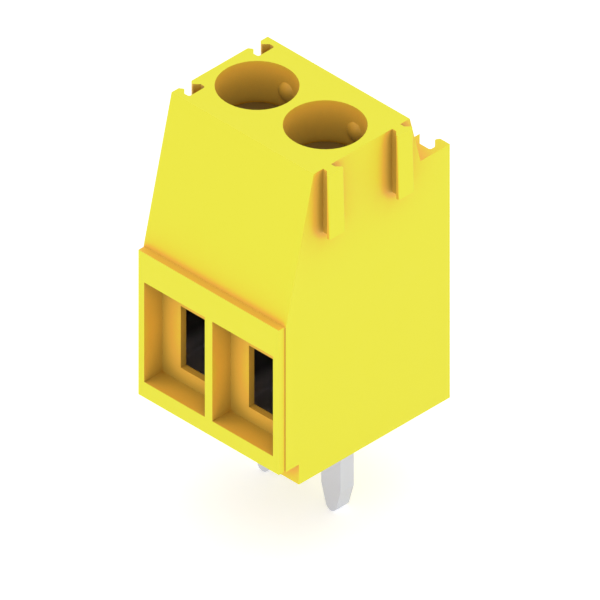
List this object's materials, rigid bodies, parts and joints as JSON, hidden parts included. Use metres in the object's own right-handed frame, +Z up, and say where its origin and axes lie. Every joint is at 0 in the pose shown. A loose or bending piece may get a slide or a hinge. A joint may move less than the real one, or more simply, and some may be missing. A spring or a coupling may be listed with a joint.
{
  "type": "pcb screw terminal",
  "caption": "Yellow circuit board terminal block: wire funnels in front, slotted screws in round shafts on top that lift clamping yokes, and flat solder pins below.",
  "frame": {"origin": "on the seating plane of the housing, midway between the poles, on the row of solder pins", "axes": "+Z up out of the board, along the screws; +X along the row of poles, towards the side with the keys; wires enter along +Y, from the -Y side"},
  "size_m": [0.0079, 0.0088, 0.0173],
  "materials": {
    "housing_plastic": "moulded yellow polyamide, satin",
    "tinned_contact": "tin-plated copper alloy, silver grey",
    "yoke_steel": "zinc-plated steel sheet, dull",
    "screw_steel": "zinc-plated steel, turned"
  },
  "bodies": {
    "housing": {"housing": "housing_plastic", "contact_bar_1": "tinned_contact", "contact_bar_2": "tinned_contact"},
    "screw_1": {"clamp_screw_1": "screw_steel"},
    "yoke_1": {"clamp_yoke_1": "yoke_steel"},
    "screw_2": {"clamp_screw_2": "screw_steel"},
    "yoke_2": {"clamp_yoke_2": "yoke_steel"}
  },
  "joints": [
    {"name": "screw_1_turn", "type": "hinge", "parent": "housing", "child": "screw_1", "pos_m": [-0.00175, -0.00063, 0.0105], "axis": [0, 0, -1], "range_deg": [0, 2160]},
    {"name": "yoke_1_lift", "type": "slide", "parent": "housing", "child": "yoke_1", "axis": [0, 0, 1], "range_m": [0, 0.0024]},
    {"name": "screw_2_turn", "type": "hinge", "parent": "housing", "child": "screw_2", "pos_m": [0.00175, -0.00063, 0.0105], "axis": [0, 0, -1], "range_deg": [0, 2160]},
    {"name": "yoke_2_lift", "type": "slide", "parent": "housing", "child": "yoke_2", "axis": [0, 0, 1], "range_m": [0, 0.0024]}
  ],
  "couplings": [
    {"joint": "screw_1_turn", "follows": "yoke_1_lift", "rad_per_m": 15708},
    {"joint": "screw_2_turn", "follows": "yoke_2_lift", "rad_per_m": 15708}
  ]
}
